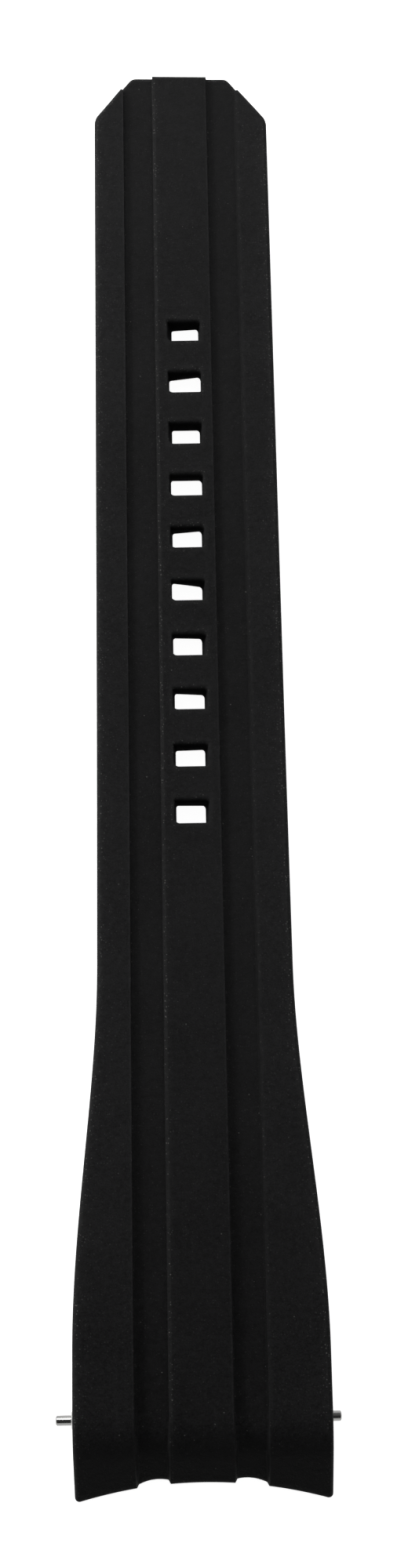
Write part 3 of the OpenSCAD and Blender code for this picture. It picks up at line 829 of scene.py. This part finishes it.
def silicone(name, finish):
    # Dark rubber that drifts between two tones, times its painted light and shade, paler at its edges with
    # wear and painted highlight, with dust specks on a fine grain that gather and brighten along the edges,
    # where they stand for painted highlight too
    material, tree, shader = newMaterial(name)
    spot = place(tree, "ShaderNodeTexCoord").outputs["Object"]
    edge, pale = (place(tree, "ShaderNodeAttribute", attribute_name=attribute).outputs["Fac"]
                  for attribute in ("edgeDustAndHighlight", "paintedShading"))
    grain, pores, drift = (grouped(tree, grainTree, Vector=spot, Size=finish[size])
                           for size in ("grain", "pores", "drift"))
    specks = grouped(tree, speckTree, Vector=spot, Spacing=finish["speckSpacing"], Size=finish["speckSize"],
                     Share=finish["speckShare"])
    # Along the edges the motes are thicker and brighter, as dust and painted highlight
    share, glow = (between(tree, edge, *finish[key]) for key in ("motesShare", "motesGlow"))
    motes = grouped(tree, speckTree, Vector=spot, Spacing=finish["motesSpacing"], Size=finish["motesSize"],
                    Share=share)
    fine, medium, wide = (scaled(tree, layer["Mask"], part)
                          for layer, part in zip((grain, pores, drift), finish["mottle"]))
    cloud = reckon(tree, "ADD", reckon(tree, "ADD", fine, medium), wide)
    # The painted light and shade darken the drifting tone
    tone = tint(tree, pale, (0, 0, 0), tint(tree, cloud, finish["shade"], finish["bloom"]))
    # Wear and painted highlight make the edges paler
    rubbedAndLit = scaled(tree, scaled(tree, edge, finish["wearAndLight"]), between(tree, pores["Mask"], *finish["rubbedAndLit"]))
    wornAndLit = tint(tree, rubbedAndLit, tone, finish["wornAndLit"])
    dust = reckon(tree, "MAXIMUM", scaled(tree, specks["Mask"], finish["speckGlow"]),
                  scaled(tree, motes["Mask"], glow))
    tree.links.new(tint(tree, dust, wornAndLit, finish["dust"]), shader.inputs["Base Color"])
    dull = reckon(tree, "ADD", between(tree, grain["Mask"], *finish["roughness"]),
                  scaled(tree, dust, finish["dustRoughness"]), clamp=True)
    tree.links.new(dull, shader.inputs["Roughness"])
    shader.inputs["Specular IOR Level"].default_value = finish["specular"]
    relief = reckon(tree, "ADD", grain["Height"], scaled(tree, pores["Height"], finish["poreRelief"]))
    bumped(tree, shader, reckon(tree, "ADD", relief, dust), finish["bumpDepth"])
    return material


def steel(name, finish):
    # Two tones of bare metal in streaks or rings, with a few dull specks
    light, dark, size, stretch, roughness = finish
    material, tree, shader = newMaterial(name)
    spot = place(tree, "ShaderNodeTexCoord").outputs["Object"]
    streaks = grouped(tree, streakTree, Vector=spot, Size=size, Stretch=stretch)
    stain = grouped(tree, grainTree, Vector=spot, Size=steelWear["stainSize"])
    specks = grouped(tree, speckTree, Vector=spot, Spacing=steelWear["speckSpacing"],
                     Size=steelWear["speckSize"], Share=steelWear["speckShare"])
    tone = tint(tree, scaled(tree, streaks["Mask"], steelWear["streaks"]), light, dark)
    stained = tint(tree, scaled(tree, stain["Mask"], steelWear["stainShare"]), tone, steelWear["stain"])
    dull = scaled(tree, specks["Mask"], steelWear["speckDepth"])
    tree.links.new(tint(tree, dull, stained, steelWear["speck"]), shader.inputs["Base Color"])
    rough = reckon(tree, "ADD", between(tree, streaks["Mask"], *roughness),
                   scaled(tree, dull, steelWear["speckRoughness"]), clamp=True)
    tree.links.new(rough, shader.inputs["Roughness"])
    shader.inputs["Metallic"].default_value = 1
    bumped(tree, shader, streaks["Height"], steelWear["bumpDepth"])
    return material


strapBody.data.materials.append(silicone("matteSilicone", rubberFinish))
# The slot walls take the copy of the silicone that is painted paler as painted light
strapBody.data.materials.append(silicone("slotSiliconePaintedLight", slotFinishPaintedLight))
for pieces, name, finish in (
    ((barBarrel,), "drawnSteel", "barrel"),
    ((leftPin, rightPin), "turnedSteel", "tips"),
    ((coilLeft, coilRight), "springWire", "wire"),
):
    metal = steel(name, steelFinish[finish])
    for piece in pieces:
        piece.data.materials.append(metal)
print("materials made")

# Camera, floor and lights in metres; the eye is in millimetres from the bar's axis, angles in degrees
studio = {
    "focal": 3000.0, "imageHeight": 2000.0, "sensor": 36, "clipStart": 0.005,
    "eye": (0.29, -7.924, 190.829), "tilt": 17.496, "yaw": -0.084, "roll": -1.047,
    "worldLevel": (0.06, 0.26), "worldTurn": (-0.35, 0.45),
    "floorSize": 3.0, "floorHeight": -0.00002, "floorColor": (0.8, 0.8, 0.8, 1), "floorGlow": 0.96,
    "backdropHeight": 0.8, "backdropShare": 0.96, "backdropSides": 96,
    "sidePlace": (-0.26, 0.09, 0.155), "sideSize": (0.05, 0.12), "sidePower": 0.38,
    "topPlace": (-0.08, 0.23, 0.18), "topSize": (0.4, 0.26), "topPower": 0.95, "aim": (0, 0.03, 0),
}
white = (1, 1, 1, 1)


def standing(right, up, backward, spot):
    # A matrix that stands a camera or a lamp at a spot, its own X, Y and Z along the three directions
    return Matrix([(right[k], up[k], backward[k], spot[k]) for k in range(3)] + [(0, 0, 0, 1)])


def cameraFrame(tilt, yaw, roll):
    # Straight down, leaned towards the tail by the tilt, turned by the yaw, then rolled about its own axis
    t, w, r = (math.radians(v) for v in (tilt, yaw, roll))
    backward = np.array([math.sin(w) * math.cos(t), -math.sin(t), math.cos(t) * math.cos(w)])
    right = np.cross([0, 1, 0], backward)
    right /= np.linalg.norm(right)
    up = np.cross(backward, right)
    rolledRight = math.cos(r) * right + math.sin(r) * up
    rolledUp = -math.sin(r) * right + math.cos(r) * up
    return rolledRight, rolledUp, backward


cameraData = bpy.data.cameras.new("photoCamera")
cameraData.sensor_fit = "VERTICAL"
cameraData.sensor_height = studio["sensor"]
cameraData.lens = studio["sensor"] * studio["focal"] / studio["imageHeight"]
cameraData.clip_start = studio["clipStart"]
camera = bpy.data.objects.new("photoCamera", cameraData)
eye = (np.array(studio["eye"]) + toFrame) * mm
camera.matrix_world = standing(*cameraFrame(studio["tilt"], studio["yaw"], studio["roll"]), eye)
scene.collection.objects.link(camera)
scene.camera = camera


def stagePiece(name, points, faces, material):
    # A mesh of its own that is part of the studio and not of the object
    mesh = bpy.data.meshes.new(name)
    mesh.from_pydata(points, [], faces)
    mesh.materials.append(material)
    piece = bpy.data.objects.new(name, mesh)
    scene.collection.objects.link(piece)
    return piece


# White to the eye and in reflections, and lit only by the lamps for everything else, so that shadows stay
floorMaterial, floorTree, shader = newMaterial("whiteFloor")
shader.inputs["Base Color"].default_value = studio["floorColor"]
shader.inputs["Roughness"].default_value = 1
shader.inputs["Specular IOR Level"].default_value = 0
shader.inputs["Emission Color"].default_value = white
path = place(floorTree, "ShaderNodeLightPath").outputs
eyeOrGloss = reckon(floorTree, "MAXIMUM", path["Is Camera Ray"], path["Is Glossy Ray"])
anyView = reckon(floorTree, "MAXIMUM", eyeOrGloss, path["Is Transmission Ray"])
floorTree.links.new(scaled(floorTree, anyView, studio["floorGlow"]), shader.inputs["Emission Strength"])

size, height = studio["floorSize"], studio["floorHeight"]
floorCorners = [(-size, -size, height), (size, -size, height), (size, size, height), (-size, size, height)]
floor = stagePiece("studioFloor", floorCorners, [(0, 1, 2, 3)], floorMaterial)

# A low round backdrop stands on the floor and carries its white on behind the object in views from low down
sides = studio["backdropSides"]
backdropTurn = np.linspace(0, 2 * math.pi, sides + 1)[:-1]
backdropRing = studio["backdropShare"] * size * np.stack(
    [np.cos(backdropTurn), np.sin(backdropTurn), 0 * backdropTurn], axis=1)
backdropPoints = np.concatenate([backdropRing, backdropRing + [0, 0, studio["backdropHeight"]]]).tolist()
backdropFaces = gridQuads(2, sides, wrap=True)[0][:, flipped].tolist()
backdrop = stagePiece("studioBackdrop", backdropPoints, backdropFaces, floorMaterial)

# The room is dim on the case end's side and bright past the tail
world = bpy.data.worlds.new("studioWorld")
scene.world = world
world.use_nodes = True
roomTree = world.node_tree
direction = place(roomTree, "ShaderNodeTexCoord").outputs["Generated"]
bearing = place(roomTree, "ShaderNodeSeparateXYZ", {0: direction})
room = place(roomTree, "ShaderNodeMapRange", {
    "Value": bearing.outputs[1], "From Min": studio["worldTurn"][0], "From Max": studio["worldTurn"][1],
    "To Min": studio["worldLevel"][0], "To Max": studio["worldLevel"][1]}, interpolation_type="SMOOTHSTEP")
roomTree.nodes["Background"].inputs["Color"].default_value = white
roomTree.links.new(room.outputs[0], roomTree.nodes["Background"].inputs["Strength"])


def softbox(name, spot, size, power):
    # A rectangular area lamp in metres, turned so that it shines from its spot towards the studio's aim
    data = bpy.data.lights.new(name, "AREA")
    data.shape = "RECTANGLE"
    data.size, data.size_y = size
    data.energy = power
    lamp = bpy.data.objects.new(name, data)
    scene.collection.objects.link(lamp)
    towards = np.array(studio["aim"], float) - np.array(spot, float)
    backward = -towards / np.linalg.norm(towards)
    up = np.cross(backward, np.cross([0, 1, 0.001], backward))
    up /= np.linalg.norm(up)
    lamp.matrix_world = standing(np.cross(up, backward), up, backward, spot)


softbox("sideStrip", studio["sidePlace"], studio["sideSize"], studio["sidePower"])
softbox("topSoftbox", studio["topPlace"], studio["topSize"], studio["topPower"])
print("studio set")

scene.view_settings.view_transform = "Standard"
